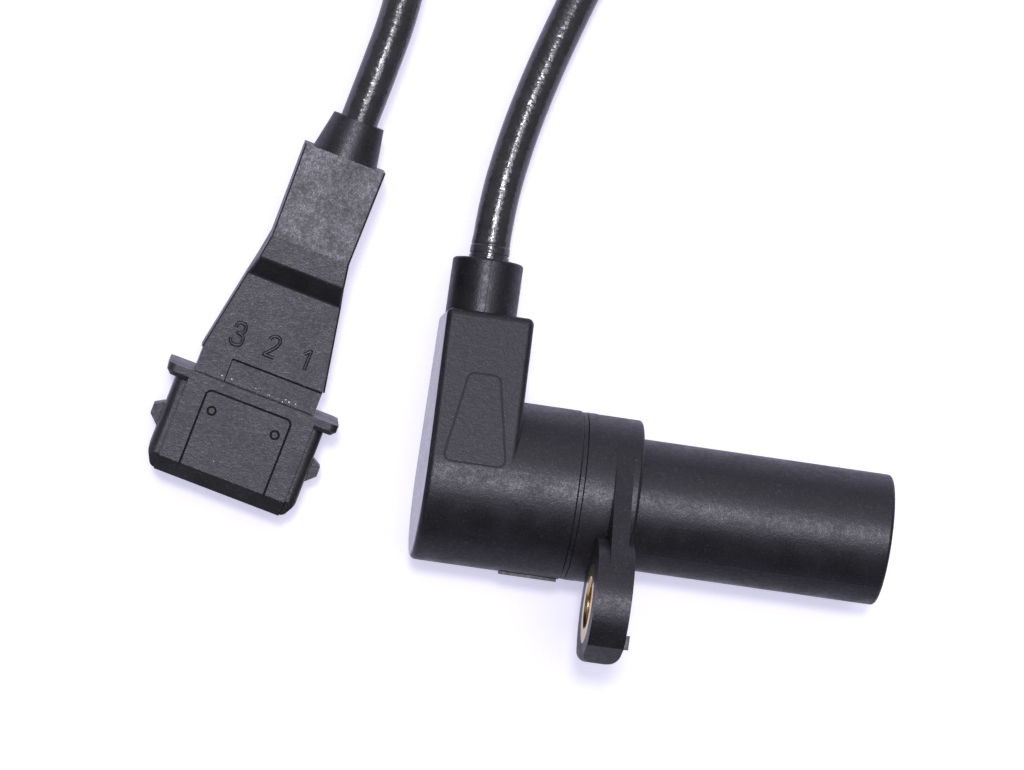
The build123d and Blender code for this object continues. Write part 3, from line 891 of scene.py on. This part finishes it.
class SENSOR_OT_plug(bpy.types.Operator):
    """Finish the plug's shroud, rear and blades, and number its three ways"""

    bl_idname = "sensor.plug"
    bl_label = "Plug"

    numeral_height: FloatProperty(
        name="Numerals",
        description="Height of the numerals",
        default=0.0027,
        unit="LENGTH",
    )
    numeral_stroke: FloatProperty(
        name="Stroke",
        description="Thickness of the numerals' strokes",
        default=0.00050,
        unit="LENGTH",
    )
    numeral_pitch: FloatProperty(
        name="Pitch",
        description="From one numeral to the next",
        default=0.0049,
        unit="LENGTH",
    )

    def execute(self, context):
        plastic = context.scene.sensor_plastic
        metal = context.scene.sensor_metal
        in_crease = (crease_dust, CREASE_DUST)
        front = moulded_plastic("plug_plastic", plastic.plug, speckle=0.5, dust=0.2, dust_and_painted_light=in_crease)
        dress(["plug_shroud"], front)
        rear = moulded_plastic("backshell_plastic", plastic.plug, speckle=0.5, dust=0.2, dust_and_painted_light=in_crease)
        dress(["plug_backshell"], rear)
        tin = turned_metal("blade_tin", metal.tin, roughness=0.3, along=(1.0, 6.0, 1.0), rings=400.0)
        dress(["plug_blade_" + digit for digit in "123"], tin)
        for place, digit in enumerate("321"):
            self.numeral(digit, (place - 1) * self.numeral_pitch, rear)
        return {"FINISHED"}

    def numeral(self, digit, x, material):
        """One raised numeral on the wedge"""
        stroke = bpy.data.curves.new("numeral_" + digit, "CURVE")
        stroke.dimensions = "3D"
        stroke.bevel_depth = self.numeral_stroke / 2
        stroke.bevel_resolution = 3
        stroke.use_fill_caps = True
        spline = stroke.splines.new("NURBS")
        points = NUMERALS[digit]
        spline.points.add(len(points) - 1)
        for point, (across, up) in zip(spline.points, points):
            point.co = (across * self.numeral_height, up * self.numeral_height, 0, 1)
        spline.order_u = 3
        spline.use_endpoint_u = True
        spline.resolution_u = 6
        holder = bpy.data.objects.new("numeral_holder", stroke)
        bpy.context.scene.collection.objects.link(holder)
        bpy.context.view_layer.update()
        ready = holder.evaluated_get(bpy.context.evaluated_depsgraph_get())
        mesh = bpy.data.meshes.new_from_object(ready)
        bpy.data.objects.remove(holder)
        mesh.name = "numeral_" + digit
        mesh.transform(PLUG @ Matrix.Translation((x, NUMERALS_BACK, WEDGE_TOP)))
        new_piece("numeral_" + digit, mesh, material)


class SENSOR_OT_stage(bpy.types.Operator):
    """White floor, two lights overhead and one from the cable's side"""

    bl_idname = "sensor.stage"
    bl_label = "Stage"

    def execute(self, context):
        stage = context.scene.sensor_stage
        self.floor()
        for name, angles in LAMPS.items():
            self.lamp(name, getattr(stage, name), *(math.radians(angle) for angle in angles))
        self.sky(stage.sky)
        context.scene.view_settings.view_transform = "Standard"
        return {"FINISHED"}

    def floor(self):
        """Floor that shows white and keeps the shadow"""
        bm = bmesh.new()
        bmesh.ops.create_grid(bm, x_segments=1, y_segments=1, size=FLOOR_HALF)
        bmesh.ops.translate(bm, verts=bm.verts, vec=(0, 0, FLOOR_Z))
        mesh = bpy.data.meshes.new("floor")
        bm.to_mesh(mesh)
        bm.free()
        floor = bpy.data.objects.new("floor", mesh)
        bpy.context.scene.collection.objects.link(floor)
        material = bpy.data.materials.new("white_floor")
        material.use_nodes = True
        tree = material.node_tree
        tree.nodes.clear()
        output = add(tree, "ShaderNodeOutputMaterial")
        paper = add(tree, "ShaderNodeBsdfDiffuse")
        glow = add(tree, "ShaderNodeEmission")
        glow.inputs["Color"].default_value = (*GLOW, 1.0)
        path, seen = light_path(tree)
        where = add(tree, "ShaderNodeSeparateXYZ")
        tree.links.new(add(tree, "ShaderNodeTexCoord").outputs["Object"], where.inputs[0])
        behind = map_range(tree, where.outputs["Y"], *FLOOR_DIMS, FLOOR_DIMMED)
        mirrored = math_node(tree, "MULTIPLY", path["Is Glossy Ray"], behind)
        tree.links.new(mix_colour(tree, seen, PAPER_LIT, PAPER_SEEN), paper.inputs["Color"])
        strength = math_node(tree, "MULTIPLY", seen, FLOOR_GLOW)
        strength = math_node(tree, "MAXIMUM", strength, math_node(tree, "MULTIPLY", mirrored, FLOOR_MIRRORED))
        tree.links.new(strength, glow.inputs["Strength"])
        both = add(tree, "ShaderNodeAddShader")
        tree.links.new(paper.outputs[0], both.inputs[0])
        tree.links.new(glow.outputs[0], both.inputs[1])
        tree.links.new(both.outputs[0], output.inputs["Surface"])
        mesh.materials.append(material)

    def lamp(self, name, strength, width, lean, swing):
        """A soft light from far off, turned about X and Y"""
        data = bpy.data.lights.new(name, "SUN")
        data.energy = strength
        data.angle = width
        lamp = bpy.data.objects.new(name, data)
        lamp.rotation_euler = (lean, swing, 0)
        bpy.context.scene.collection.objects.link(lamp)

    def sky(self, strength):
        """Even light from all round, that the camera sees as white"""
        world = bpy.data.worlds.new("sky")
        world.use_nodes = True
        tree = world.node_tree
        shade = tree.nodes["Background"]
        _, seen = light_path(tree)
        tree.links.new(mix_colour(tree, seen, SKY, WHITE), shade.inputs["Color"])
        tree.links.new(math_node(tree, "MAXIMUM", seen, strength), shade.inputs["Strength"])
        bpy.context.scene.world = world


class SENSOR_PT_panel(bpy.types.Panel):
    """Lists the pieces and their settings"""

    bl_idname = "SENSOR_PT_panel"
    bl_label = "Crankshaft sensor"
    bl_space_type = "VIEW_3D"
    bl_region_type = "UI"
    bl_category = "Sensor"

    def draw(self, context):
        for operator in OPERATORS:
            self.layout.operator(operator.bl_idname)
        for name, group in SETTINGS.items():
            box = self.layout.box()
            box.label(text=group.__doc__)
            for label in group.__annotations__:
                box.prop(getattr(context.scene, name), label)


SETTINGS = {
    "sensor_stage": StageSettings,
    "sensor_cable": CableSettings,
    "sensor_plastic": PlasticSettings,
    "sensor_metal": MetalSettings,
}
OPERATORS = (
    SENSOR_OT_camera,
    SENSOR_OT_cable,
    SENSOR_OT_housing,
    SENSOR_OT_bush,
    SENSOR_OT_works,
    SENSOR_OT_plug,
    SENSOR_OT_stage,
)


def register():
    for kind in (*SETTINGS.values(), *OPERATORS, SENSOR_PT_panel):
        bpy.utils.register_class(kind)
    for name, group in SETTINGS.items():
        setattr(bpy.types.Scene, name, PointerProperty(type=group))


def unregister():
    for name in SETTINGS:
        delattr(bpy.types.Scene, name)
    for kind in (SENSOR_PT_panel, *reversed(OPERATORS), *reversed(SETTINGS.values())):
        bpy.utils.unregister_class(kind)


def main():
    register()
    for operator in OPERATORS:
        family, name = operator.bl_idname.split(".")
        getattr(getattr(bpy.ops, family), name)()


if __name__ == "__main__":
    main()
